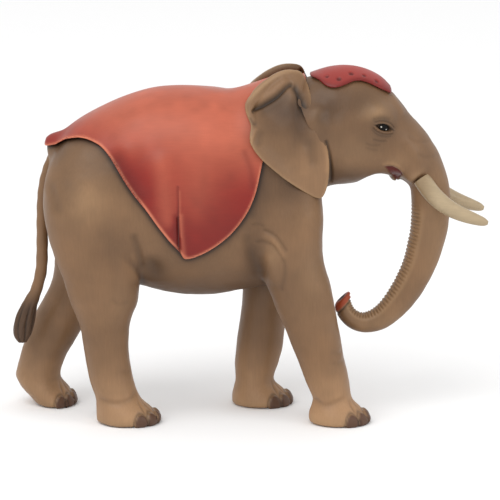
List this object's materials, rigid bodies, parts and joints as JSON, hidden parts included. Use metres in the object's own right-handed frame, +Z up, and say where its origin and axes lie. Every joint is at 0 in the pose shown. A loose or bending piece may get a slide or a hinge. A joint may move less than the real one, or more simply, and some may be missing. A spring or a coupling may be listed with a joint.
{
  "type": "elephant figurine",
  "caption": "Carved and painted wooden elephant, walking, with a curled trunk, raised ears, tusks, a saddle cloth and a head cap.",
  "frame": {"origin": "centre of the bounding box, on the ground under the soles", "axes": "+X is the way the elephant faces, +Y its left side, +Z up"},
  "size_m": [0.2133, 0.0668, 0.1594],
  "materials": {
    "painted_wood": "satin",
    "ivory_painted_wood": "satin",
    "red_painted_wood": "satin",
    "dowel_wood": "matte"
  },
  "bodies": {
    "root": {"body_rear_block": "painted_wood", "body_front_block": "painted_wood", "leg_hind_right": "painted_wood", "leg_hind_left": "painted_wood", "leg_front_right": "painted_wood", "leg_front_left": "painted_wood", "head": "painted_wood", "trunk": "painted_wood", "ear_right": "painted_wood", "ear_left": "painted_wood", "tusk_right": "ivory_painted_wood", "tusk_left": "ivory_painted_wood", "tail": "painted_wood", "saddle_cloth": "red_painted_wood", "head_cap": "red_painted_wood", "body_dowels": "dowel_wood", "leg_dowels": "dowel_wood", "neck_dowels": "dowel_wood", "trunk_dowel": "dowel_wood"}
  },
  "joints": []
}
